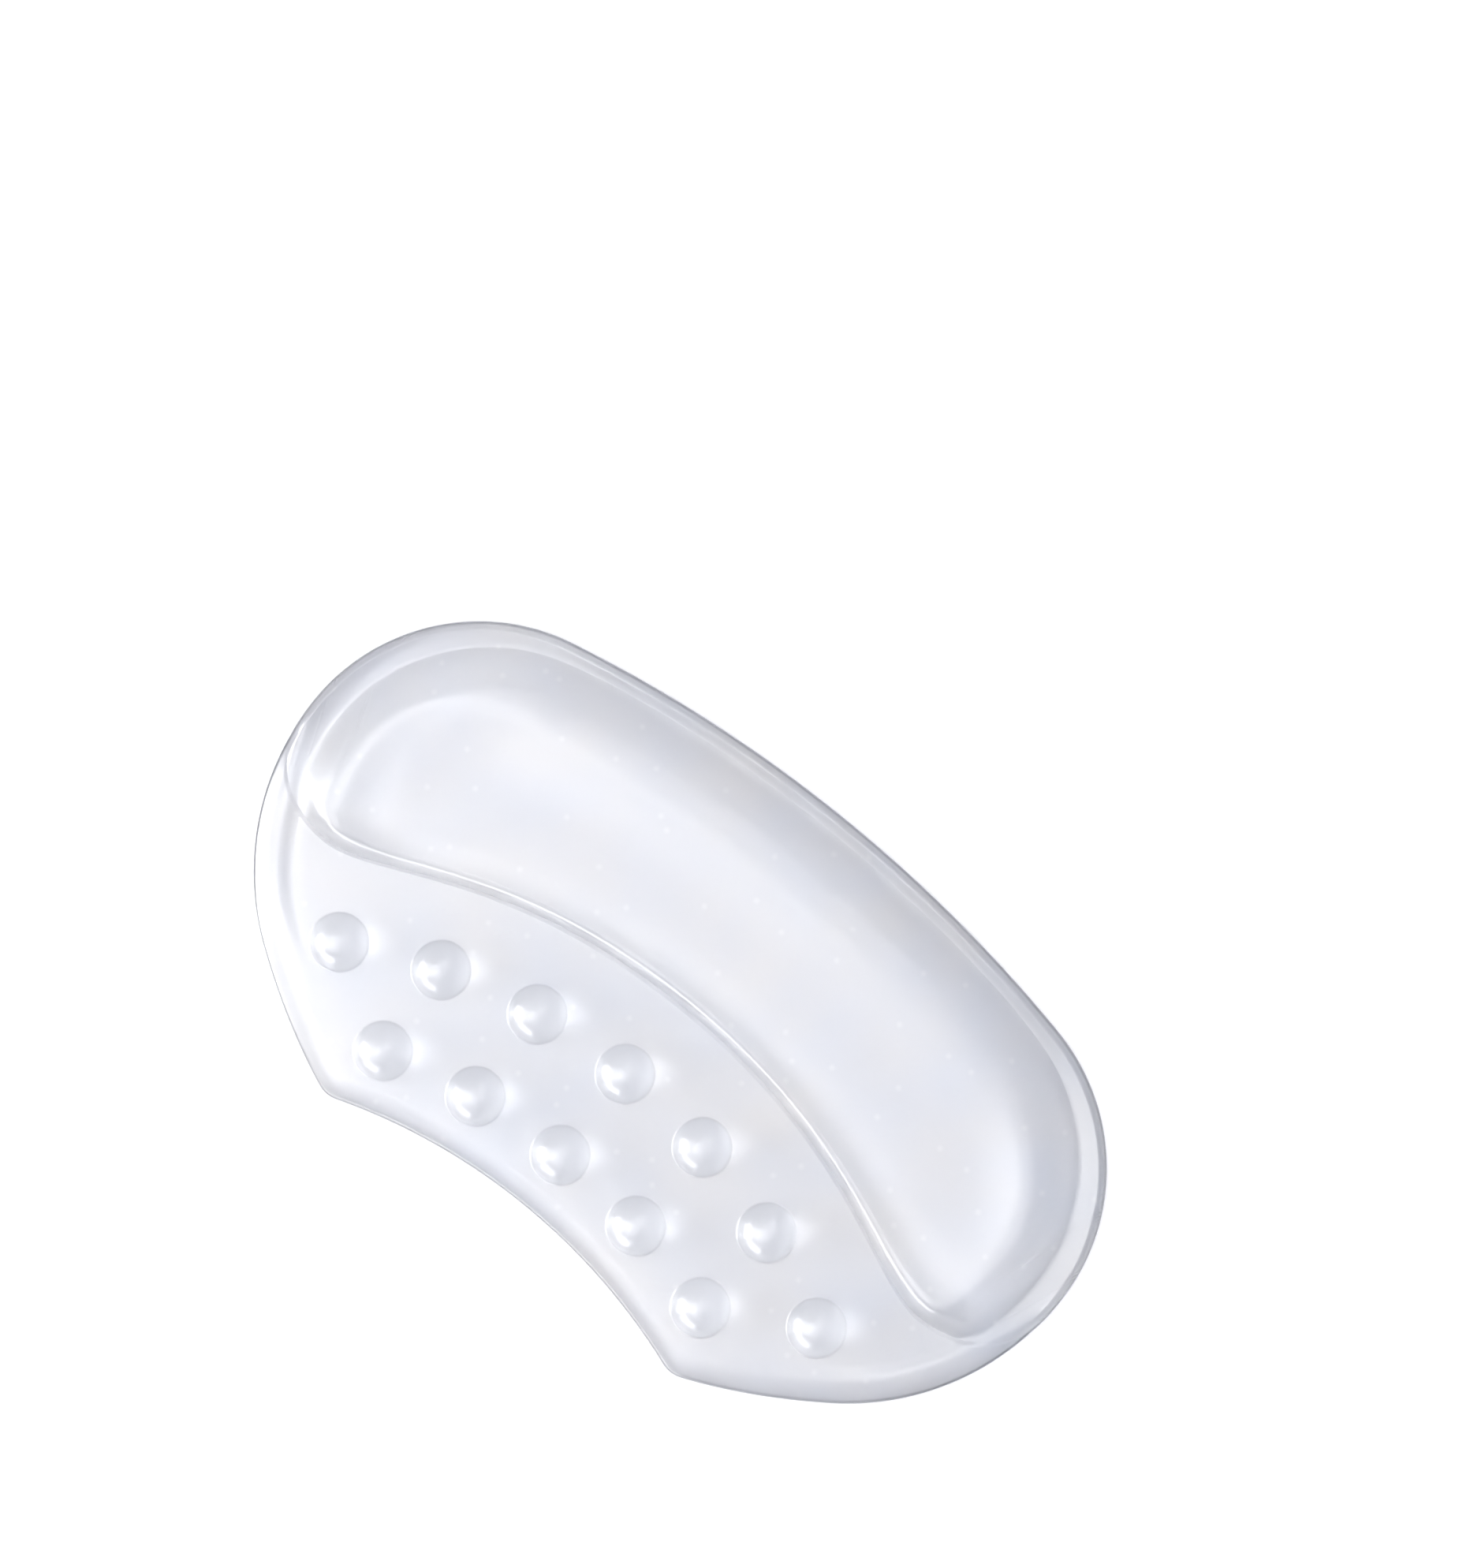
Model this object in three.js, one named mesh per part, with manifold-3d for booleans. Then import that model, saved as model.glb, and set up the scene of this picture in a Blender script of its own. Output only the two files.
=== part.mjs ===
// Silicone heel grip: a clear gel pad that sticks inside the back of a shoe.
// It is moulded in one piece: a thin kidney-shaped film, a crescent cushion along its convex
// side, and two curved rows of massage domes. The back is flat.
// Millimetres. X runs along the pad, Y from the notched edge to the crown, Z up from the back.

import * as THREE from "three";
import { mergeVertices } from "three/addons/utils/BufferGeometryUtils.js";
import Module from "manifold-3d";

// Outline, in arcs that run into each other without a kink
const LENGTH = 95;
const WIDTH = 53.4;
const CROWN_RADIUS = 147;
const SHOULDER_RADIUS = 21;
const FLANK_RADIUS = 27;
const FLANK_TURN = THREE.MathUtils.degToRad(55);
const CORNER_SPAN = 43.6;
const CORNER_RADIUS = 3;
const CORNER_TURN = THREE.MathUtils.degToRad(68);
const NOTCH_RISE = 3.7;
// The cushion's foot line meets the flank this far round from the widest point
const TIP_TURN = THREE.MathUtils.degToRad(8.7);

// Film: it thins to a soft rim. Along the flanks a low bead runs inside the rim
const FILM = 1.6;
const RIM = 0.9;
const RIM_WIDTH = 2.6;
const BEAD = 0.35;
const BEAD_FALL = 1.4;
// The bead starts this far above the notched edge and takes this much further to reach its full height
const BEAD_START = 8;
const BEAD_RUN = 6;
// Cushion: its edge has a raised lip, and a narrow flange lies between the lip and the outer slope
const CUSHION = 4.3;
const LIP_EDGE = 1.2;
const LIP = 2;
const LIP_WIDTH = 1;
const FLANGE = 1.5;
// Where the flange meets the slope, measured in from the edge, and how wide the slope is
const FLANGE_WIDTH = 1.9;
const OUTER_SLOPE = 6.2;
// At the pad's ends the flange is wider, the slope steeper and the inner shoulder rounder
const END_FLANGE = 3.2;
const END_SLOPE = 3.8;
const END_ROUND = 2.6;
const ENDS_START = 24;
// Share of the outer slope that its rounded crest takes
const CREST = 0.35;
// The top of the cushion sinks from its outer crest to its inner shoulder
const DISH_DEPTH = 1.45;
const DISH_RUN = 9;
// How far either side of the crest the surface turns over into the dish
const DISH_ROUND = 1.2;
// Width of the rounded inner shoulder, at the middle of the pad
const INNER_ROUND = 1.3;

// Foot line of the cushion: a low arch between two troughs, with ears that turn up to the tips
const ARCH_Y = 28.8;
const ARCH_PULL = 22.4;
const TROUGH_X = 37.5;
const TROUGH_Y = 19.6;
const TROUGH_PULL = 5.9;
const EAR_PULL = 6.5;

// Massage domes, each row on its own arc
const DOME_ROWS = [
  { count: 7, pitch: 10.5, arcRadius: 64, crestY: 20.1 },
  { count: 5, pitch: 10.2, arcRadius: 69, crestY: 9.9 },
];
const DOME_DIAMETER = 5.9;
const DOME_RISE = 2;
const DOME_ROOT = 0.4;
const DOME_STEPS = 6;
const DOME_SIDES = 24;

// Sections run from tip to tip. Each one crosses these zones from the notched edge to the crown
const HALF_SECTIONS = 32;
const ZONES = [
  { zone: "rim", steps: 4 },
  { zone: "bead", steps: 3 },
  { zone: "film", steps: 2 },
  { zone: "inner shoulder", steps: 4 },
  { zone: "dish", steps: 7 },
  { zone: "outer slope", steps: 6 },
  { zone: "flange", steps: 2 },
  { zone: "lip", steps: 3 },
];

// The most of the film and of the cushion that these zones take in a short section
const SHORT_RIM = 0.45;
const SHORT_BEAD = 0.8;
const SHORT_SHOULDER = 0.5;

const half = LENGTH / 2;
const shoulderX = half - SHOULDER_RADIUS;
const crownCentreY = WIDTH - CROWN_RADIUS;
const shoulderLift = Math.sqrt((CROWN_RADIUS - SHOULDER_RADIUS) ** 2 - shoulderX ** 2);
const widestY = crownCentreY + shoulderLift;
const crownTurn = Math.atan2(shoulderLift, shoulderX);
const flankX = half - FLANK_RADIUS;

function onCircle(x, y, radius, angle) {
  return new THREE.Vector2(x + radius * Math.cos(angle), y + radius * Math.sin(angle));
}

const tip = onCircle(flankX, widestY, FLANK_RADIUS, -TIP_TURN);

// From the middle of the crown round the shoulder to the tip
function crownEdge() {
  const path = new THREE.Path();
  path.absarc(0, crownCentreY, CROWN_RADIUS, Math.PI / 2, crownTurn, true);
  path.absarc(shoulderX, widestY, SHOULDER_RADIUS, crownTurn, 0, true);
  path.absarc(flankX, widestY, FLANK_RADIUS, 0, -TIP_TURN, true);
  return path;
}

// Where the lines through two points of the outline, square to their normals, cross
function tangentCrossing(a, angleA, b, angleB) {
  const along = new THREE.Vector2(-Math.sin(angleA), Math.cos(angleA));
  const normal = new THREE.Vector2(Math.cos(angleB), Math.sin(angleB));
  const reach = b.clone().sub(a).dot(normal) / along.dot(normal);
  return a.clone().addScaledVector(along, reach);
}

// From the middle of the notch round the corner and up the flank to the tip
function notchEdge() {
  const cornerX = CORNER_SPAN / 2;
  const centres = (cornerX ** 2 + NOTCH_RISE ** 2) / (2 * NOTCH_RISE);
  const notchRadius = centres - CORNER_RADIUS;
  const notchCentreY = NOTCH_RISE - notchRadius;
  const notchTurn = Math.atan2(CORNER_RADIUS - notchCentreY, cornerX);
  const cornerEnd = onCircle(cornerX, CORNER_RADIUS, CORNER_RADIUS, -CORNER_TURN);
  const flankEnd = onCircle(flankX, widestY, FLANK_RADIUS, -FLANK_TURN);
  const bend = tangentCrossing(cornerEnd, -CORNER_TURN, flankEnd, -FLANK_TURN);
  const path = new THREE.Path();
  path.absarc(0, notchCentreY, notchRadius, Math.PI / 2, notchTurn, true);
  path.absarc(cornerX, CORNER_RADIUS, CORNER_RADIUS, notchTurn - Math.PI, -CORNER_TURN, false);
  path.quadraticCurveTo(bend.x, bend.y, flankEnd.x, flankEnd.y);
  path.absarc(flankX, widestY, FLANK_RADIUS, -FLANK_TURN, -TIP_TURN, false);
  return path;
}

// From the middle of the arch through the trough to the tip
function footLine() {
  const path = new THREE.Path();
  path.moveTo(0, ARCH_Y);
  path.bezierCurveTo(ARCH_PULL, ARCH_Y, TROUGH_X - TROUGH_PULL, TROUGH_Y, TROUGH_X, TROUGH_Y);
  path.quadraticCurveTo(TROUGH_X + EAR_PULL, TROUGH_Y, tip.x, tip.y);
  return path;
}

// Points from the left tip to the right tip, the left half mirrored from the right
function bothHalves(path, steps) {
  const right = path.getSpacedPoints(steps);
  const left = right.slice(1).reverse();
  return [...left.map((point) => new THREE.Vector2(-point.x, point.y)), ...right];
}

function nearest(line, x, y) {
  return Math.min(...line.map((point) => Math.hypot(point.x - x, point.y - y)));
}

const FINE_STEPS = 12 * HALF_SECTIONS;
const fineCrown = bothHalves(crownEdge(), FINE_STEPS);
const fineNotch = bothHalves(notchEdge(), FINE_STEPS);
const fineFoot = bothHalves(footLine(), FINE_STEPS);

function fromEdge(x, y) {
  return Math.min(nearest(fineCrown, x, y), nearest(fineNotch, x, y));
}

function fromFoot(x, y) {
  return nearest(fineFoot, x, y);
}

const { clamp, lerp, smoothstep } = THREE.MathUtils;

// A quarter wave from 0 to 1, level at its end
function roundedRise(share) {
  return Math.sin((clamp(share, 0, 1) * Math.PI) / 2);
}

// Film: a rounded rise from the edge to the top of the bead, then a fall to the film's own thickness
function filmTop(x, y) {
  const edge = fromEdge(x, y);
  const bead = BEAD * smoothstep(y, BEAD_START, BEAD_START + BEAD_RUN);
  const rise = (FILM + bead - RIM) * roundedRise(edge / RIM_WIDTH);
  return RIM + rise - bead * smoothstep(edge, RIM_WIDTH, RIM_WIDTH + BEAD_FALL);
}

// A straight slope from 0 to 1 that rounds over into the level at its crest
function slope(share) {
  const past = clamp(share - 1 + CREST, 0, 2 * CREST);
  return clamp(share, 0, 1 + CREST) - past ** 2 / (4 * CREST);
}

// A rise from 0 to 1, steepest at its foot
function shoulder(share) {
  return 1 - (1 - clamp(share, 0, 1)) ** 2;
}

function towardsEnds(x, middle, end) {
  return lerp(middle, end, smoothstep(Math.abs(x), ENDS_START, half));
}

function flangeWidth(x) {
  return towardsEnds(x, FLANGE_WIDTH, END_FLANGE);
}

// How far in from the edge the outer slope has its crest
function crestDepth(x) {
  return flangeWidth(x) + towardsEnds(x, OUTER_SLOPE, END_SLOPE);
}

function innerRound(x) {
  return towardsEnds(x, INNER_ROUND, END_ROUND);
}

// Cushion from its outer edge inwards: the lip, the flange, the slope up to the crest, then the dish
function outerTop(x, y) {
  const edge = fromEdge(x, y);
  const flange = flangeWidth(x);
  const crest = crestDepth(x);
  const lip = LIP_EDGE + (LIP - LIP_EDGE) * roundedRise(edge / LIP_WIDTH);
  const fall = (LIP - FLANGE) * clamp((edge - LIP_WIDTH) / (flange - LIP_WIDTH), 0, 1);
  const rise = (CUSHION - FLANGE) * slope((edge - flange) / (crest - flange));
  const pastCrest = edge - crest;
  const dishRun = (pastCrest + Math.hypot(pastCrest, DISH_ROUND)) / 2;
  return lip - fall + rise - DISH_DEPTH * shoulder(dishRun / DISH_RUN);
}

function cushionTop(x, y) {
  const film = filmTop(x, y);
  return film + (outerTop(x, y) - film) * shoulder(fromFoot(x, y) / innerRound(x));
}

// How far along the line from a to b a test first holds, as a share
function shareWhere(a, b, test) {
  let low = 0;
  let high = 1;
  while (high - low > 1e-4) {
    const middle = (low + high) / 2;
    const { x, y } = a.clone().lerp(b, middle);
    if (test(x, y)) {
      high = middle;
    } else {
      low = middle;
    }
  }
  return high;
}

// One section: across the film from the notched edge to the foot line, then over the cushion.
// Near the tips, where it is too short for all its zones, the rim and the shoulder keep their share of it
function section(edge, foot, crown) {
  const film = (depth) => shareWhere(edge, foot, (x, y) => fromEdge(x, y) > depth);
  const cushion = (depth) => shareWhere(foot, crown, (x, y) => fromEdge(x, y) < depth(x));
  const rim = Math.min(film(RIM_WIDTH), SHORT_RIM);
  const bead = Math.min(film(RIM_WIDTH + BEAD_FALL), SHORT_BEAD);
  const inner = Math.min(shareWhere(foot, crown, (x, y) => fromFoot(x, y) > innerRound(x)), SHORT_SHOULDER);
  const crest = Math.max(cushion(crestDepth), inner);
  const flange = Math.max(cushion(flangeWidth), crest);
  const lip = Math.max(cushion(() => LIP_WIDTH), flange);
  const ends = [rim, bead, 1, 1 + inner, 1 + crest, 1 + flange, 1 + lip, 2];
  const stops = ZONES.flatMap(({ steps }, zone) => {
    const start = zone > 0 ? ends[zone - 1] : 0;
    return Array.from({ length: steps }, (_, i) => start + ((ends[zone] - start) * (i + 1)) / steps);
  });
  return [0, ...stops].map((stop) => {
    const onFilm = stop <= 1;
    const { x, y } = onFilm ? edge.clone().lerp(foot, stop) : foot.clone().lerp(crown, stop - 1);
    return [x, y, onFilm ? filmTop(x, y) : cushionTop(x, y)];
  });
}

// Film and cushion as one closed surface: the sections skinned, a low wall round the edge, a flat back
function padSurface() {
  const crown = bothHalves(crownEdge(), HALF_SECTIONS);
  const notch = bothHalves(notchEdge(), HALF_SECTIONS);
  const foot = bothHalves(footLine(), HALF_SECTIONS);
  const rows = foot.map((point, i) => section(notch[i], point, crown[i]));
  const across = rows[0].length;
  const positions = rows.flat(2);
  const faces = [];
  const at = (i, j) => i * across + j;
  for (let i = 0; i + 1 < rows.length; i += 1) {
    for (let j = 0; j + 1 < across; j += 1) {
      faces.push([at(i, j), at(i + 1, j), at(i + 1, j + 1)]);
      faces.push([at(i, j), at(i + 1, j + 1), at(i, j + 1)]);
    }
  }
  const loop = [...notch, ...crown.slice(1, -1).reverse()];
  const rim = [...notch.keys()].map((i) => at(i, 0));
  rim.push(...[...crown.keys()].slice(1, -1).reverse().map((i) => at(i, across - 1)));
  const back = positions.length / 3;
  loop.forEach((point) => positions.push(point.x, point.y, 0));
  loop.forEach((_, i) => {
    const next = (i + 1) % loop.length;
    faces.push([back + i, back + next, rim[next]]);
    faces.push([back + i, rim[next], rim[i]]);
  });
  THREE.ShapeUtils.triangulateShape(loop, []).forEach(([a, b, c]) => faces.push([back + a, back + c, back + b]));
  const geometry = new THREE.BufferGeometry();
  geometry.setAttribute("position", new THREE.Float32BufferAttribute(positions, 3));
  geometry.setIndex(faces.flat());
  return geometry;
}

// One dome: a ball cap that rises from the film, with a root that sinks into it
function domeGeometry() {
  const radius = DOME_DIAMETER / 2;
  const ball = (radius ** 2 + DOME_RISE ** 2) / (2 * DOME_RISE);
  const spread = Math.asin(radius / ball);
  const profile = [new THREE.Vector2(0, FILM - DOME_ROOT), new THREE.Vector2(radius, FILM - DOME_ROOT)];
  for (let step = 0; step <= DOME_STEPS; step += 1) {
    const angle = spread * (1 - step / DOME_STEPS);
    const height = FILM + DOME_RISE - ball + ball * Math.cos(angle);
    profile.push(new THREE.Vector2(ball * Math.sin(angle), height));
  }
  const geometry = new THREE.LatheGeometry(profile, DOME_SIDES);
  geometry.rotateX(Math.PI / 2);
  return geometry;
}

function domeCentres({ count, pitch, arcRadius, crestY }) {
  return Array.from({ length: count }, (_, i) => {
    const angle = ((i - (count - 1) / 2) * pitch) / arcRadius;
    return [arcRadius * Math.sin(angle), crestY - arcRadius * (1 - Math.cos(angle))];
  });
}

const wasm = await Module();
wasm.setup();

// Welds a surface and drops the slivers where its sections run together at the tips
function toSolid(geometry) {
  geometry.deleteAttribute("normal");
  geometry.deleteAttribute("uv");
  const welded = mergeVertices(geometry, 1e-3);
  const index = welded.index.array;
  const kept = [];
  for (let i = 0; i < index.length; i += 3) {
    const [a, b, c] = index.slice(i, i + 3);
    if (a !== b && b !== c && a !== c) {
      kept.push(a, b, c);
    }
  }
  const vertProperties = new Float32Array(welded.attributes.position.array);
  return new wasm.Manifold(new wasm.Mesh({ numProp: 3, vertProperties, triVerts: new Uint32Array(kept) }));
}

function toGeometry(solid) {
  const mesh = solid.getMesh();
  const geometry = new THREE.BufferGeometry();
  geometry.setAttribute("position", new THREE.BufferAttribute(mesh.vertProperties, 3));
  geometry.setIndex(new THREE.BufferAttribute(mesh.triVerts, 1));
  geometry.computeVertexNormals();
  return geometry;
}

let pad = toSolid(padSurface());
DOME_ROWS.flatMap(domeCentres).forEach(([x, y]) => {
  pad = pad.add(toSolid(domeGeometry().translate(x, y, 0)));
});

const clearSilicone = new THREE.MeshStandardMaterial({ color: "#e6e8ef", roughness: 0.2, metalness: 0 });

const gelPad = new THREE.Mesh(toGeometry(pad).translate(0, -WIDTH / 2, 0), clearSilicone);
gelPad.name = "gel_pad";

const group = new THREE.Group();
group.add(gelPad);

export default group;
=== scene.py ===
import math

import bmesh
import bpy
import numpy as np
from mathutils import Matrix, Vector
from mathutils.geometry import tessellate_polygon
from mathutils.kdtree import KDTree


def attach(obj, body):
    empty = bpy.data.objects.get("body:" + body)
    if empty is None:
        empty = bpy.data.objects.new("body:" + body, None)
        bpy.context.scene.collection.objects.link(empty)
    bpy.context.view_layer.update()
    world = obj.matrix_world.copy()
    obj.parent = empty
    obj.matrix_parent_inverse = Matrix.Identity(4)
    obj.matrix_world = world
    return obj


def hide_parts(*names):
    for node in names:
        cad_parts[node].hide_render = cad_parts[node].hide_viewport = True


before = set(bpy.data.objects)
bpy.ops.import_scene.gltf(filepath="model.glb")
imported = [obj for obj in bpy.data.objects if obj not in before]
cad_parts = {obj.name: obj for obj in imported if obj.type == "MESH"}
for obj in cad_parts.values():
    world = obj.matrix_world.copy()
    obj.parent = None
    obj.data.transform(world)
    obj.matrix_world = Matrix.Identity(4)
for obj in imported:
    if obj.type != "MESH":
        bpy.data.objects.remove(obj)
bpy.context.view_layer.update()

# Gel pad: the whole heel grip, one moulding of clear silicone gel with a flat back.
# A thin kidney-shaped film carries a dished crescent cushion and two curved rows of massage domes.
# All lengths here are in millimetres, with Y from the notched edge to the crown.
MM = 0.001

# Outline in plan: a crown arc, round shoulders, flanks, and small corners beside the notch
LENGTH, WIDTH = 95, 53.4
CROWN_RADIUS, SHOULDER_RADIUS, FLANK_RADIUS, CORNER_RADIUS = 147, 21, 27, 3
FLANK_TURN, CORNER_TURN, TIP_TURN = math.radians(55), math.radians(68), math.radians(8.7)
CORNER_SPAN, NOTCH_RISE = 43.6, 3.7

# Foot line in plan, where the cushion meets the film: an arch, a trough, and an ear up to each tip
ARCH_Y, ARCH_PULL = 28.8, 22.4
TROUGH_X, TROUGH_Y, TROUGH_PULL, EAR_PULL = 37.5, 19.6, 5.9, 6.5

# Film: its thickness, the thin rim along the notch and the flanks, and the low bead inside the flanks
FILM, RIM, RIM_WIDTH = 1.6, 0.9, 2.6
BEAD, BEAD_FALL, BEAD_START, BEAD_RUN = 0.35, 1.4, 8, 6

# Cushion: lip and flange along the outer edge, outer slope, dish, and the round shoulder at the foot line.
# CUSHION is the height of the outer slope before its crest is rounded and the dish is taken out.
CUSHION, FLANGE, FLANGE_WIDTH, END_FLANGE = 4.3, 1.5, 1.9, 3.2
LIP_EDGE, LIP, LIP_WIDTH = 1.2, 2, 1
OUTER_SLOPE, END_SLOPE, ENDS_START = 6.2, 3.8, 24
INNER_ROUND, END_ROUND = 1.3, 2.6
DISH_DEPTH, DISH_RUN, DISH_ROUND = 1.45, 9, 1.2

# Shares of the outer slope that are rounded over at its crest and filleted at its toe
CREST, TOE = 0.35, 0.12

# Fine details: the rounded edge, the chamfer under it, and the groove along the foot line.
# GROOVE_LIMIT is the largest share of the film's width that the groove takes.
EDGE_ROUND, CHAMFER, CHAMFER_HEIGHT = 0.3, 0.3, 0.6
GROOVE, GROOVE_WIDTH, GROOVE_LIMIT = 0.15, 0.4, 0.2

# Massage domes, in rows along two arcs
DOME_ROWS = (
    {"count": 7, "pitch": 10.5, "arc_radius": 64, "crest_y": 20.1},
    {"count": 5, "pitch": 10.2, "arc_radius": 69, "crest_y": 9.9},
)
DOME_RADIUS, DOME_RISE, DOME_FILLET = 2.95, 2, 0.2

# Fineness of the mesh, and a size too small to matter that keeps divisions from failing
CURVE_STEPS, HALF_SECTIONS, LINE_STEPS, SAMPLES = 400, 160, 1280, 300
RIM_ROWS, CUSHION_ROWS, TIP_ROWS = 24, 110, 8
CAP_RINGS, FILLET_RINGS, DOME_SIDES = 15, 6, 64
TINY = 1e-9

half = LENGTH / 2
shoulder_x = half - SHOULDER_RADIUS
shoulder_lift = math.sqrt((CROWN_RADIUS - SHOULDER_RADIUS) ** 2 - shoulder_x**2)
widest_y = WIDTH - CROWN_RADIUS + shoulder_lift
crown_turn = math.atan2(shoulder_lift, shoulder_x)
flank_x = half - FLANK_RADIUS


def arc(x, y, radius, start, end):
    """Points along an arc about x, y."""
    turn = np.linspace(start, end, CURVE_STEPS)
    return np.column_stack([x + radius * np.cos(turn), y + radius * np.sin(turn)])


def bezier(*points):
    """Points along the curve that these control points pull."""
    t = np.linspace(0, 1, CURVE_STEPS)[:, None]
    rows = [np.array(p, float) * np.ones_like(t) for p in points]
    while len(rows) > 1:
        rows = [a + (b - a) * t for a, b in zip(rows, rows[1:])]
    return rows[0]


def both_halves(curves, steps):
    """Evenly spaced points from the left tip to the right tip, the left half mirrored."""
    line = np.concatenate(curves)
    run = np.concatenate([[0], np.cumsum(np.linalg.norm(np.diff(line, axis=0), axis=1))])
    at = np.linspace(0, run[-1], steps + 1)
    right = np.column_stack([np.interp(at, run, line[:, 0]), np.interp(at, run, line[:, 1])])
    return np.concatenate([right[:0:-1] * [-1, 1], right])


tip = arc(flank_x, widest_y, FLANK_RADIUS, -TIP_TURN, 0)[0]
crown_curves = [
    arc(0, WIDTH - CROWN_RADIUS, CROWN_RADIUS, math.pi / 2, crown_turn),
    arc(shoulder_x, widest_y, SHOULDER_RADIUS, crown_turn, 0),
    arc(flank_x, widest_y, FLANK_RADIUS, 0, -TIP_TURN),
]
corner_x = CORNER_SPAN / 2
notch_radius = (corner_x**2 + NOTCH_RISE**2) / (2 * NOTCH_RISE) - CORNER_RADIUS
notch_turn = math.atan2(CORNER_RADIUS - NOTCH_RISE + notch_radius, corner_x)
corner = arc(corner_x, CORNER_RADIUS, CORNER_RADIUS, notch_turn - math.pi, -CORNER_TURN)
flank = arc(flank_x, widest_y, FLANK_RADIUS, -FLANK_TURN, -TIP_TURN)
flank_normal = np.array([math.cos(FLANK_TURN), -math.sin(FLANK_TURN)])
corner_along = np.array([math.sin(CORNER_TURN), math.cos(CORNER_TURN)])
corner_reach = (flank[0] - corner[-1]) @ flank_normal / (corner_along @ flank_normal)
notch_curves = [
    arc(0, NOTCH_RISE - notch_radius, notch_radius, math.pi / 2, notch_turn),
    corner,
    bezier(corner[-1], corner[-1] + corner_along * corner_reach, flank[0]),
    flank,
]
foot_curves = [
    bezier((0, ARCH_Y), (ARCH_PULL, ARCH_Y), (TROUGH_X - TROUGH_PULL, TROUGH_Y), (TROUGH_X, TROUGH_Y)),
    bezier((TROUGH_X, TROUGH_Y), (TROUGH_X + EAR_PULL, TROUGH_Y), tip),
]
crown, notch, foot = (both_halves(c, HALF_SECTIONS) for c in (crown_curves, notch_curves, foot_curves))


class Line:
    """A curve in plan that gives the distance to it."""

    def __init__(self, curves):
        self.points = both_halves(curves, LINE_STEPS)
        self.tree = KDTree(len(self.points))
        for i, (x, y) in enumerate(self.points):
            self.tree.insert((x, y, 0), i)
        self.tree.balance()

    def distance(self, points):
        flat = points.reshape(-1, 2)
        near = np.array([self.tree.find((x, y, 0))[1] for x, y in flat])
        best = np.full(len(flat), np.inf)
        for step in (-1, 1):
            a = self.points[near]
            b = self.points[np.clip(near + step, 0, len(self.points) - 1)]
            along = b - a
            share = ((flat - a) * along).sum(1) / np.maximum((along**2).sum(1), TINY)
            gap = flat - a - along * np.clip(share, 0, 1)[:, None]
            best = np.minimum(best, np.linalg.norm(gap, axis=1))
        return best.reshape(points.shape[:-1])


crown_line, notch_line, foot_line = Line(crown_curves), Line(notch_curves), Line(foot_curves)


def from_edge(points):
    """Distance in plan from the outline."""
    return np.minimum(crown_line.distance(points), notch_line.distance(points))


def slope(share):
    """A straight slope from 0 to 1 with a small fillet at its toe and a round crest."""
    toe = np.clip(share + TOE, 0, 2 * TOE) ** 2 / (4 * TOE) + np.clip(share - TOE, 0, None)
    past = np.clip(toe - 1 + CREST, 0, 2 * CREST)
    return np.clip(toe, 0, 1 + CREST) - past**2 / (4 * CREST)


def shoulder(share):
    """A rise from 0 to 1, steepest at its foot and rounding over to the level."""
    return 1 - (1 - np.clip(share, 0, 1)) ** 2


def ease(share):
    """A smooth rise from 0 to 1, level at both ends."""
    t = np.clip(share, 0, 1)
    return t * t * (3 - 2 * t)


def towards_ends(x, middle, end):
    """A size that changes from its middle value to its end value along the cushion."""
    return middle + (end - middle) * ease((np.abs(x) - ENDS_START) / (half - ENDS_START))


def crests(points, edge):
    """How far a point is past the flange and past the outer crest."""
    past_flange = edge - towards_ends(points[..., 0], FLANGE_WIDTH, END_FLANGE)
    return past_flange, past_flange - towards_ends(points[..., 0], OUTER_SLOPE, END_SLOPE)


def above_notch(y, height):
    """A height that is 0 along the notched edge and grows up the flanks."""
    return height * ease((y - BEAD_START) / BEAD_RUN)


def edge_rounding(edge):
    """How much the rounding takes off the top, close to the outline."""
    inset = np.clip(EDGE_ROUND - edge, 0, EDGE_ROUND)
    return EDGE_ROUND - np.sqrt(EDGE_ROUND**2 - inset**2)


def film_top(points, edge):
    """Height of the film: the rim's bevel, the bead behind it, and the flat."""
    bead = above_notch(points[..., 1], BEAD)
    rise = (FILM + bead - RIM) * np.sin(np.clip(edge / RIM_WIDTH, 0, 1) * math.pi / 2)
    return RIM + rise - bead * ease((edge - RIM_WIDTH) / BEAD_FALL) - edge_rounding(edge)


def cushion_top(points, edge, past_foot):
    """Height of the cushion: lip, flange and outer slope, then the dish down to the foot line's shoulder."""
    past_flange, past_crest = crests(points, edge)
    lip = LIP_EDGE + (LIP - LIP_EDGE) * np.sin(np.clip(edge / LIP_WIDTH, 0, 1) * math.pi / 2)
    flange_width = edge - past_flange
    lip -= (LIP - FLANGE) * np.clip((edge - LIP_WIDTH) / (flange_width - LIP_WIDTH), 0, 1)
    outer = lip + (CUSHION - FLANGE) * slope(past_flange / (past_flange - past_crest))
    dish_run = (past_crest + np.sqrt(past_crest**2 + DISH_ROUND**2)) / 2
    outer -= DISH_DEPTH * shoulder(dish_run / DISH_RUN) + edge_rounding(edge)
    foot_z = film_top(points, edge) - GROOVE * ease(edge / RIM_WIDTH)
    inner_round = towards_ends(points[..., 0], INNER_ROUND, END_ROUND)
    return foot_z + (outer - foot_z) * shoulder(past_foot / inner_round)


verts, faces = [], []


def add_points(points, heights):
    """New vertices at points in plan and their heights, given back as their numbers."""
    start = len(verts)
    verts.extend((x, y, z) for (x, y), z in zip(points, heights))
    return np.arange(start, len(verts))


def add_strip(rows):
    """Faces between rows of vertices that run the same way."""
    for a, b in zip(rows, rows[1:]):
        faces.extend(zip(a[:-1], a[1:], b[1:], b[:-1]))


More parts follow.
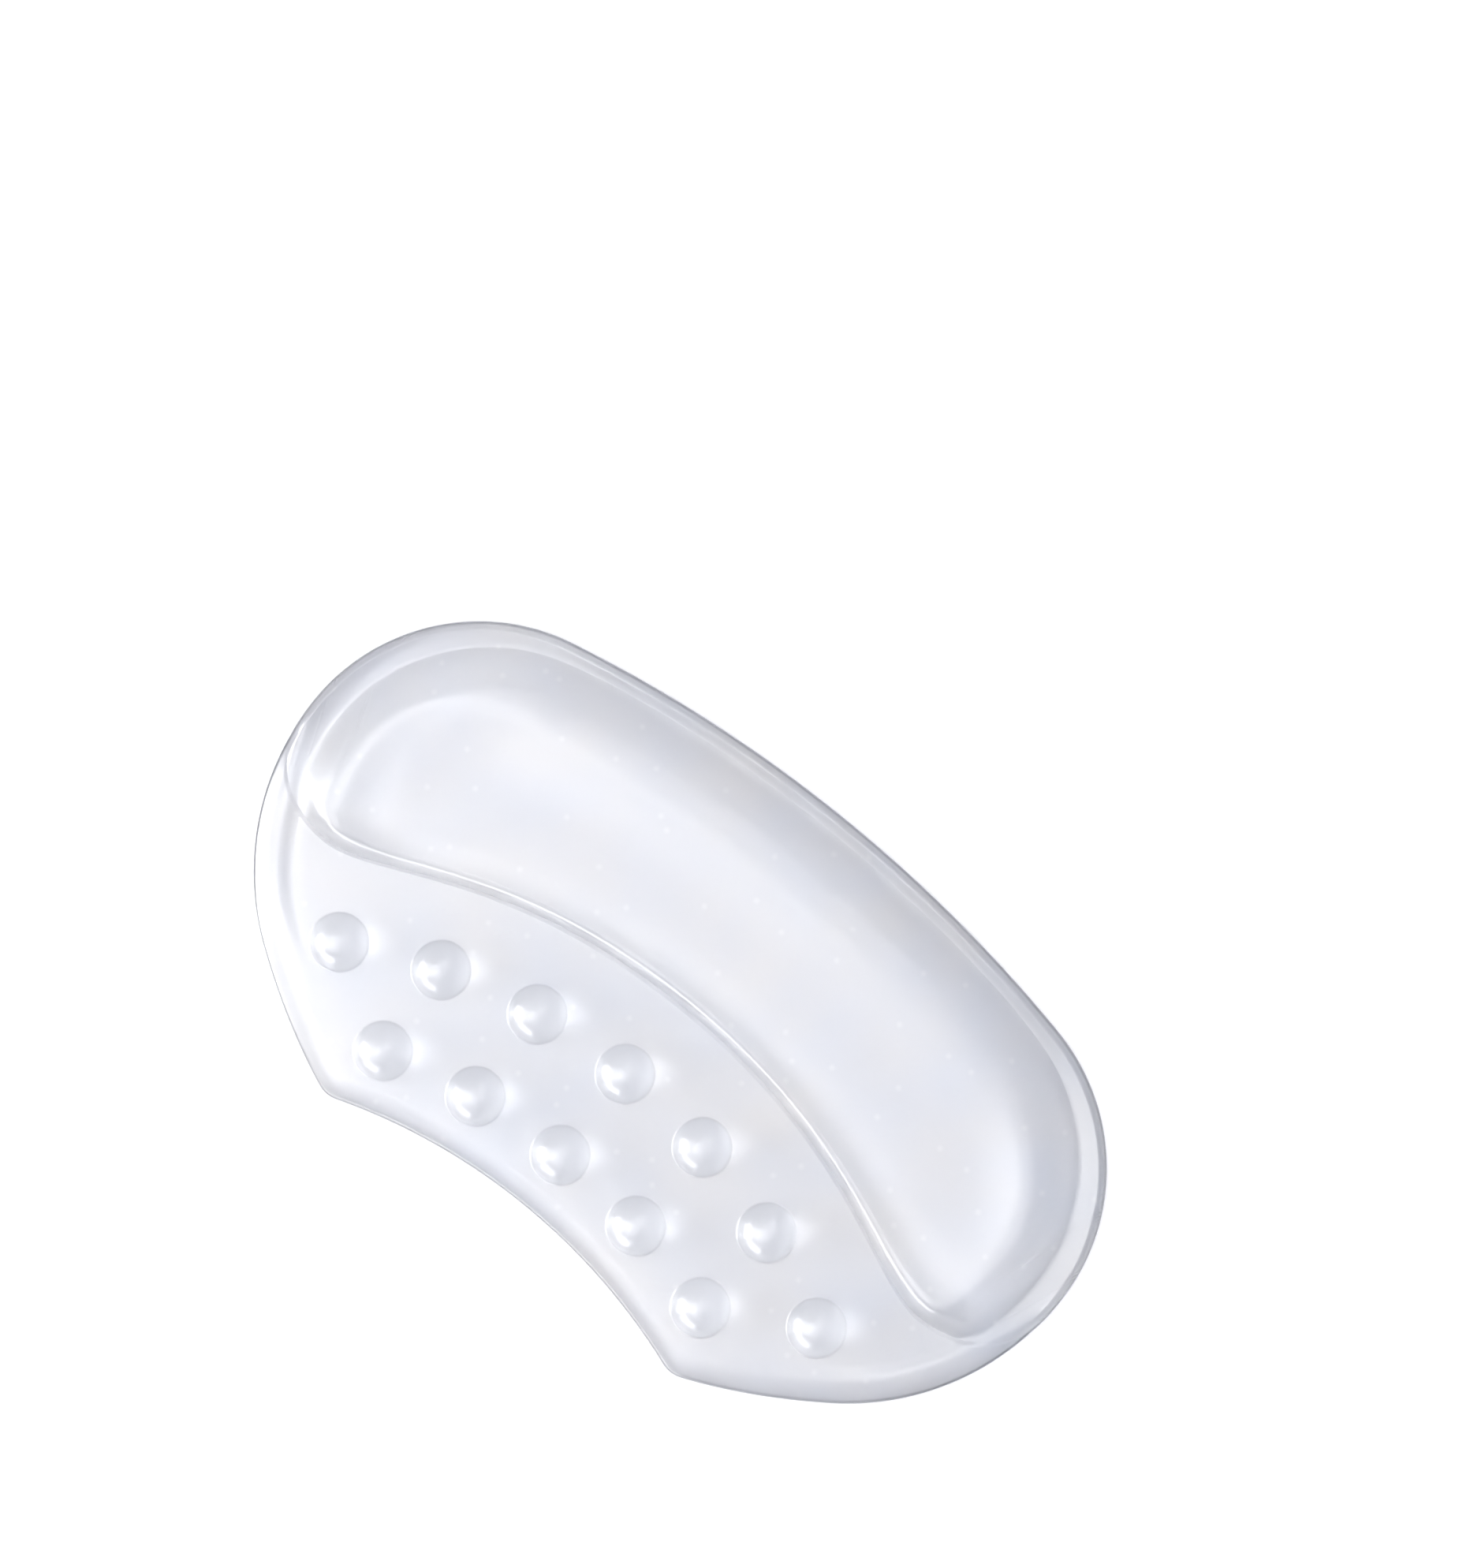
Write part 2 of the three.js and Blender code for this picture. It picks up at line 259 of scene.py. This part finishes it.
# Rim of the film, from the notched edge in to the flat, squeezed where it runs out at the tips.
# It runs RIM_MARGIN times the bevel's width, or TIP_SHARE of the film where that is less.
# Its first rows, at EDGE_SHARES, lie close together over the rounded edge.
RIM_MARGIN, TIP_SHARE = 1.02, 0.6
EDGE_SHARES, PAST_EDGE = (0, 0.008, 0.024, 0.048, 0.08), 0.12
shares = np.linspace(0, 1, SAMPLES)
across = notch[:, None] + (foot - notch)[:, None] * shares[:, None]
depth = np.maximum.accumulate(from_edge(across), axis=1)
past_corner = np.abs(notch[:, 0]) - corner_x - CORNER_RADIUS
rim_reach = RIM_MARGIN * RIM_WIDTH + BEAD_FALL * ease(past_corner / RIM_WIDTH)
room_for_rim = TIP_SHARE * depth.max(axis=1)
whole = room_for_rim > rim_reach
rim_reach = np.where(whole, rim_reach, room_for_rim)
rim_rows = []
for share in np.concatenate([EDGE_SHARES, np.linspace(PAST_EDGE, 1, RIM_ROWS)]):
    stops = [np.interp(share * reach, row, shares) for reach, row in zip(rim_reach, depth)]
    points = notch + (foot - notch) * np.array(stops)[:, None]
    rim_rows.append(add_points(points, film_top(points, from_edge(points))))
add_strip(rim_rows)

# Cushion, from the foot line to the crown, with its rows crowded where the surface bends:
# gap is the distance from a bend, width the band that it crowds, weight how much.
across = foot[:, None] + (crown - foot)[:, None] * shares[:, None]
edge, past_foot = from_edge(across), foot_line.distance(across)
past_flange, past_crest = crests(across, edge)
bends = (
    {"gap": past_foot, "width": 0.1, "weight": 40},
    {"gap": past_foot, "width": 0.8, "weight": 5},
    {"gap": past_crest, "width": 0.7, "weight": 5},
    {"gap": past_flange, "width": 0.3, "weight": 8},
    {"gap": edge - LIP_WIDTH, "width": 0.3, "weight": 6},
    {"gap": edge, "width": 0.2, "weight": 10},
)
crowding = 1 + sum(bend["weight"] * np.exp(-((bend["gap"] / bend["width"]) ** 2)) for bend in bends)
crowding = np.cumsum((crowding[:, 1:] + crowding[:, :-1]) / 2, axis=1)
crowding = np.column_stack([np.zeros(len(foot)), crowding / crowding[:, -1:]])
stops = np.array([np.interp(np.linspace(0, 1, CUSHION_ROWS), row, shares) for row in crowding])
cushion_rows = []
for i in range(CUSHION_ROWS):
    points = foot + (crown - foot) * stops[:, i : i + 1]
    heights = cushion_top(points, from_edge(points), foot_line.distance(points))
    cushion_rows.append(add_points(points, heights))
add_strip(cushion_rows)

# Fine groove where the film meets the cushion, narrower where the film runs out at the tips
span = np.linalg.norm(notch - foot, axis=1)[:, None] + TINY
groove_rows = []
for share in (1, 0.75, 0.5, 0.25):
    points = foot + (notch - foot) / span * np.minimum(GROOVE_WIDTH, GROOVE_LIMIT * span) * share
    edge = from_edge(points)
    heights = film_top(points, edge) - GROOVE * ease(edge / RIM_WIDTH) * (1 - share)
    groove_rows.append(add_points(points, heights))
add_strip([*groove_rows, cushion_rows[0]])

# Domes: ball caps with a small fillet round the root
ball = (DOME_RADIUS**2 + DOME_RISE**2) / (2 * DOME_RISE)
ball_z = FILM + DOME_RISE - ball
fillet_z = FILM + DOME_FILLET
fillet_r = math.sqrt((ball + DOME_FILLET) ** 2 - (fillet_z - ball_z) ** 2)
cap_turn = math.atan2(fillet_r, fillet_z - ball_z)
cap = [
    (ball * math.sin(a), ball_z + ball * math.cos(a))
    for a in np.linspace(0, cap_turn, CAP_RINGS + 1)[1:]
]
fillet = [
    (fillet_r - DOME_FILLET * math.sin(a), fillet_z - DOME_FILLET * math.cos(a))
    for a in np.linspace(cap_turn, 0, FILLET_RINGS + 1)[1:]
]
around = np.linspace(0, 2 * math.pi, DOME_SIDES, endpoint=False)
circle = np.column_stack([np.cos(around), np.sin(around)])
dome_rings = []
first_dome_point = len(verts)
for row in DOME_ROWS:
    for i in range(row["count"]):
        turn = (i - (row["count"] - 1) / 2) * row["pitch"] / row["arc_radius"]
        drop = row["arc_radius"] * (1 - math.cos(turn))
        centre = [row["arc_radius"] * math.sin(turn), row["crest_y"] - drop]
        peak = add_points([centre], [FILM + DOME_RISE])[0]
        rings = [add_points(centre + circle * r, np.full(len(circle), z)) for r, z in cap + fillet]
        closed = [np.append(ring, ring[0]) for ring in rings]
        faces.extend((peak, a, b) for a, b in zip(closed[0], closed[0][1:]))
        add_strip(closed[::-1])
        dome_rings.append(rings[-1])
last_dome_point = len(verts)

# Film at the tips, between the rim and the foot line
ends = []
start = int(whole.argmax())
for side in (slice(None, start + 1), slice(len(foot) - start - 1, None)):
    rim, line = rim_rows[-1][side], groove_rows[0][side]
    rim_points, line_points = (np.array([verts[i][:2] for i in row]) for row in (rim, line))
    rows = [rim]
    for share in np.linspace(0, 1, TIP_ROWS + 1)[1:-1]:
        points = rim_points + (line_points - rim_points) * share
        rows.append(add_points(points, film_top(points, from_edge(points))))
    add_strip([*rows, line])
    ends.append(rows[1:])

# Flat of the film between the rim, the foot line and the domes
flat_columns = slice(start, len(foot) - start)
left_end, right_end = [row[-1] for row in ends[0]], [row[0] for row in ends[1]]
rim_side, foot_side = rim_rows[-1][flat_columns], groove_rows[0][flat_columns]
flat_loops = [np.concatenate([rim_side, right_end, foot_side[::-1], left_end[::-1]]), *dome_rings]
flat = np.concatenate(flat_loops)
triangles = tessellate_polygon([[Vector((*verts[i][:2], 0)) for i in loop] for loop in flat_loops])
faces.extend(tuple(flat[list(t)]) for t in triangles)

# Low wall round the edge, its chamfered foot, and the flat back inside a ring that ends the painted shade
# along the edge.
# The painted shade is gone EDGE_FADE times EDGE_LINE in from the outline, and NOTCH_LINE is its share along
# the notch.
EDGE_LINE, EDGE_FADE, NOTCH_LINE = 0.3, 1.6, 0.6
BACK_RING = 3 * EDGE_LINE
rim_loop = np.concatenate([rim_rows[0], cushion_rows[-1][-2:0:-1]])
outline = np.array([verts[i][:2] for i in rim_loop])
along = np.roll(outline, -1, axis=0) - np.roll(outline, 1, axis=0)
inwards = np.column_stack([-along[:, 1], along[:, 0]]) / np.linalg.norm(along, axis=1)[:, None]
wall_rows = [rim_loop, add_points(outline, np.full(len(outline), CHAMFER_HEIGHT))]
chamfer = above_notch(outline[:, 1], CHAMFER)[:, None]
for inset in (chamfer, chamfer + BACK_RING):
    wall_rows.append(add_points(outline + inwards * inset, np.zeros(len(outline))))
add_strip([np.append(row, row[0]) for row in wall_rows[::-1]])
triangles = tessellate_polygon([[Vector(verts[i]) for i in wall_rows[-1]]])
faces.extend(tuple(wall_rows[-1][list(t)]) for t in triangles)

mesh = bpy.data.meshes.new("gel_pad_shown")
points = np.array(verts)
mesh.from_pydata((points - [0, WIDTH / 2, 0]) * MM, [], [tuple(int(i) for i in f) for f in faces])

# Shares of two painted marks at each point: a thin dark line of painted shade round the edge, weaker along
# the notch, and a painted highlight that lightens the domes
edge_painted_shade = ease(EDGE_FADE - from_edge(points[:, :2]) / EDGE_LINE)
edge_painted_shade *= NOTCH_LINE + above_notch(points[:, 1], 1 - NOTCH_LINE)
# The domes are painted paler all over, a painted highlight that fades in over their fillets
dome_painted_light = np.zeros(len(points))
dome_painted_light[first_dome_point:last_dome_point] = 1
dome_painted_light *= ease((points[:, 2] - FILM) / DOME_FILLET)
for name, values in (("edge_painted_shade", edge_painted_shade), ("dome_painted_light", dome_painted_light)):
    mesh.attributes.new(name, "FLOAT", "POINT").data.foreach_set("value", values)

# One closed shell with smooth shading, apart from its sharp edges and level faces
MERGE_DISTANCE, SLIVER = 0.001 * MM, 0.0001 * MM
SHARP_ANGLE, LEVEL = math.radians(40), 0.99999
gel_pad = bpy.data.objects.new("gel_pad_shown", mesh)
bpy.context.scene.collection.objects.link(gel_pad)
shell = bmesh.new()
shell.from_mesh(mesh)
bmesh.ops.remove_doubles(shell, verts=shell.verts, dist=MERGE_DISTANCE)
bmesh.ops.dissolve_degenerate(shell, edges=shell.edges, dist=SLIVER)
bmesh.ops.recalc_face_normals(shell, faces=shell.faces)
shell.to_mesh(mesh)
shell.free()
mesh.set_sharp_from_angle(angle=SHARP_ANGLE)
for face in mesh.polygons:
    face.use_smooth = abs(face.normal.z) < LEVEL


def linear(code):
    """Linear colour of an sRGB hex code."""
    parts = [int(code[i : i + 2], 16) / 255 for i in (1, 3, 5)]
    return [c / 12.92 if c <= 0.04045 else ((c + 0.055) / 1.055) ** 2.4 for c in parts] + [1]


def add_node(tree, kind, settings=None, inputs=None):
    """A new node with its settings, and its inputs set to values or linked to other nodes' outputs."""
    node = tree.nodes.new(kind)
    for name, value in (settings or {}).items():
        setattr(node, name, value)
    for name, value in (inputs or {}).items():
        if isinstance(value, bpy.types.NodeSocket):
            tree.links.new(value, node.inputs[name])
        else:
            node.inputs[name].default_value = value
    return node


# Clear silicone, moulded: it bends what lies under it, with a faint lavender tint and a wet but soft gloss.
# Slow clouding and small pale specks stand for uneven gel; the domes are lightened by a painted highlight,
# and a thin dark line of painted shade runs round the edge.
CLOUD_SIZE, CLOUD_COOL, CLOUD_WARM = 9, "#ced4e1", "#e0dddb"
SPECK_PITCH, SPECK_RADIUS, SPECK_SHARE = 6, 0.5, 0.25
# The domes' colour is a painted highlight and the edge colour is painted shade; the clouding and specks are
# the gel's own.
DOME_HIGHLIGHT_COLOUR, EDGE_SHADE_COLOUR, SPECK_COLOUR = "#eef0f6", "#4a4d5a", "#ffffff"

# A mix node's sockets for its two colours and its result
FIRST_COLOUR, SECOND_COLOUR, MIXED_COLOUR = 6, 7, 2
silicone = bpy.data.materials.new("clear_silicone")
silicone.use_nodes = True
tree = silicone.node_tree
place = add_node(tree, "ShaderNodeTexCoord").outputs["Object"]
clouds = add_node(
    tree,
    "ShaderNodeTexNoise",
    {},
    {"Vector": place, "Scale": 1 / (CLOUD_SIZE * MM), "Detail": 1},
)
clouded = add_node(
    tree,
    "ShaderNodeMix",
    {"data_type": "RGBA"},
    {
        "Factor": clouds.outputs["Fac"],
        FIRST_COLOUR: linear(CLOUD_COOL),
        SECOND_COLOUR: linear(CLOUD_WARM),
    },
)
cells = add_node(
    tree,
    "ShaderNodeTexVoronoi",
    {"voronoi_dimensions": "2D"},
    {"Vector": place, "Scale": 1 / (SPECK_PITCH * MM)},
)
specks = add_node(
    tree,
    "ShaderNodeMapRange",
    {"interpolation_type": "SMOOTHSTEP"},
    {
        "Value": cells.outputs["Distance"],
        "From Max": SPECK_RADIUS / SPECK_PITCH,
        "To Min": SPECK_SHARE,
        "To Max": 0,
    },
)
# Where the domes' painted highlight and the edge's painted shade lie, read from the mesh
dome_highlight_share = add_node(tree, "ShaderNodeAttribute", {"attribute_name": "dome_painted_light"})
edge_shade_share = add_node(tree, "ShaderNodeAttribute", {"attribute_name": "edge_painted_shade"})
colour = clouded.outputs[MIXED_COLOUR]
for share, code in (
    (specks.outputs["Result"], SPECK_COLOUR),
    (dome_highlight_share.outputs["Fac"], DOME_HIGHLIGHT_COLOUR),
    (edge_shade_share.outputs["Fac"], EDGE_SHADE_COLOUR),
):
    mix = add_node(
        tree,
        "ShaderNodeMix",
        {"data_type": "RGBA"},
        {"Factor": share, FIRST_COLOUR: colour, SECOND_COLOUR: linear(code)},
    )
    colour = mix.outputs[MIXED_COLOUR]
shader = tree.nodes["Principled BSDF"]
tree.links.new(colour, shader.inputs["Base Color"])
shader.inputs["Roughness"].default_value = 0.28
shader.inputs["IOR"].default_value = 1.41
shader.inputs["Coat Weight"].default_value = 1
shader.inputs["Coat Roughness"].default_value = 0.25
shader.inputs["Transmission Weight"].default_value = 0.89
mesh.materials.append(silicone)
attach(gel_pad, "root")
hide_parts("gel_pad")

# Floor: a large sheet of plain white paper that the pad lies on.
# It stands a hair above the pad's back, so that the gel wets it with no air between.
PAPER_HALF, PAPER_LIFT = 2, 0.02 * MM
corners = [(x * PAPER_HALF, y * PAPER_HALF, 0) for x, y in ((-1, -1), (1, -1), (1, 1), (-1, 1))]
floor_mesh = bpy.data.meshes.new("paper")
floor_mesh.from_pydata(corners, [], [(0, 1, 2, 3)])
floor = bpy.data.objects.new("paper", floor_mesh)
floor.location.z = PAPER_LIFT
bpy.context.scene.collection.objects.link(floor)

# White paper, uncoated: it scatters light evenly and has no gloss
paper = bpy.data.materials.new("white_paper")
paper.use_nodes = True
paper_shader = paper.node_tree.nodes["Principled BSDF"]
paper_shader.inputs["Base Color"].default_value = linear("#f2f2f2")
paper_shader.inputs["Roughness"].default_value = 1
paper_shader.inputs["Specular IOR Level"].default_value = 0
floor_mesh.materials.append(paper)

# Light: a pale studio room, brighter towards the left of the picture and cooler where it is dim.
# Five plain panels face the pad, each hidden from the kinds of ray that its job doesn't need.
# On a scale from -1 at the dim end to 1 at the bright end, the room changes from DIM_SIDE to BRIGHT_SIDE.
VIEW_AZIMUTH, VIEW_ELEVATION = math.radians(38.7), math.radians(87.4)
BRIGHT_LEFT, BRIGHT_UP = 0.87, 0.5
DIM_SIDE, BRIGHT_SIDE = -0.4, 0.6
DIM_STRENGTH, BRIGHT_STRENGTH = 0.32, 1.05
DIM_COLOUR, BRIGHT_COLOUR = (0.74, 0.76, 1, 1), (1, 1, 1, 1)
right = Vector((math.cos(VIEW_AZIMUTH), math.sin(VIEW_AZIMUTH), 0))
level = math.cos(VIEW_ELEVATION)
back = Vector((math.sin(VIEW_AZIMUTH) * level, -math.cos(VIEW_AZIMUTH) * level, math.sin(VIEW_ELEVATION)))
up = back.cross(right)
world = bpy.data.worlds.new("studio")
bpy.context.scene.world = world
world.use_nodes = True
tree = world.node_tree
where = add_node(tree, "ShaderNodeTexCoord")
to_bright_side = add_node(
    tree,
    "ShaderNodeVectorMath",
    {"operation": "DOT_PRODUCT"},
    {0: where.outputs["Generated"], 1: up * BRIGHT_UP - right * BRIGHT_LEFT},
)
room = add_node(
    tree,
    "ShaderNodeMapRange",
    {"interpolation_type": "SMOOTHSTEP"},
    {
        "Value": to_bright_side.outputs["Value"],
        "From Min": DIM_SIDE,
        "From Max": BRIGHT_SIDE,
        "To Min": DIM_STRENGTH,
        "To Max": BRIGHT_STRENGTH,
    },
)
room_colour = add_node(
    tree,
    "ShaderNodeMix",
    {"data_type": "RGBA"},
    {"Factor": room.outputs["Result"], FIRST_COLOUR: DIM_COLOUR, SECOND_COLOUR: BRIGHT_COLOUR},
)
sky = tree.nodes["Background"]
tree.links.new(room_colour.outputs[MIXED_COLOUR], sky.inputs["Color"])
tree.links.new(room.outputs["Result"], sky.inputs["Strength"])


def add_panel(name, side, zenith, distance, width, height, watts, hidden_from):
    """A rectangular panel that faces the pad, a distance in metres away and some degrees off the zenith."""
    turn = math.radians(zenith)
    direction = side * math.sin(turn) + Vector((0, 0, math.cos(turn)))
    light = bpy.data.lights.new(name, "AREA")
    light.shape = "RECTANGLE"
    light.size, light.size_y, light.energy = width, height, watts
    panel = bpy.data.objects.new(name, light)
    panel.matrix_world = direction.to_track_quat("Z", "Y").to_matrix().to_4x4()
    panel.location = direction * distance
    for ray in hidden_from:
        setattr(panel, "visible_" + ray, False)
    bpy.context.scene.collection.objects.link(panel)


# A low panel that shines through the gel from the left
add_panel(
    "low_light",
    side=-right,
    zenith=73,
    distance=1.5,
    width=0.9,
    height=0.5,
    watts=95,
    hidden_from=("diffuse", "glossy"),
)

# Three panels that show as reflections: on the level gel, on the domes, and on the cushion's inner shoulder
LOWER_TURN = math.radians(50)
lower_left = -right * math.cos(LOWER_TURN) - up * math.sin(LOWER_TURN)
for panel in (
    {"name": "soft_light", "side": -right, "zenith": 0, "width": 1, "height": 3, "watts": 16},
    {"name": "dome_light", "side": -right, "zenith": 50, "width": 1.1, "height": 2.4, "watts": 30},
    {"name": "side_light", "side": lower_left, "zenith": 72, "width": 1.2, "height": 0.6, "watts": 17},
):
    add_panel(**panel, distance=1.5, hidden_from=("diffuse", "transmission", "camera"))

# A panel overhead that takes the bare paper to white
add_panel(
    "top_light",
    side=-right,
    zenith=0,
    distance=2,
    width=2,
    height=2,
    watts=40,
    hidden_from=("transmission", "glossy", "camera"),
)

# Camera: almost straight above the pad, which lies in the lower left of the picture.
# The aim is the middle of the picture, and the lens follows from its focal length in picture heights.
AIM = Vector((-9.5, 22.6, 0)) * MM
CAMERA_DISTANCE = 236.5 * MM
SENSOR, FOCAL_PIXELS, HEIGHT_PIXELS = 36, 3000, 1988
lens = bpy.data.cameras.new("camera")
lens.sensor_width = SENSOR
lens.lens = FOCAL_PIXELS / HEIGHT_PIXELS * SENSOR
lens.clip_start = 0.01
camera = bpy.data.objects.new("camera", lens)
camera.matrix_world = Matrix((right, up, back)).transposed().to_4x4()
camera.location = AIM + back * CAMERA_DISTANCE
bpy.context.scene.collection.objects.link(camera)
bpy.context.scene.camera = camera
bpy.context.scene.view_settings.view_transform = "Standard"
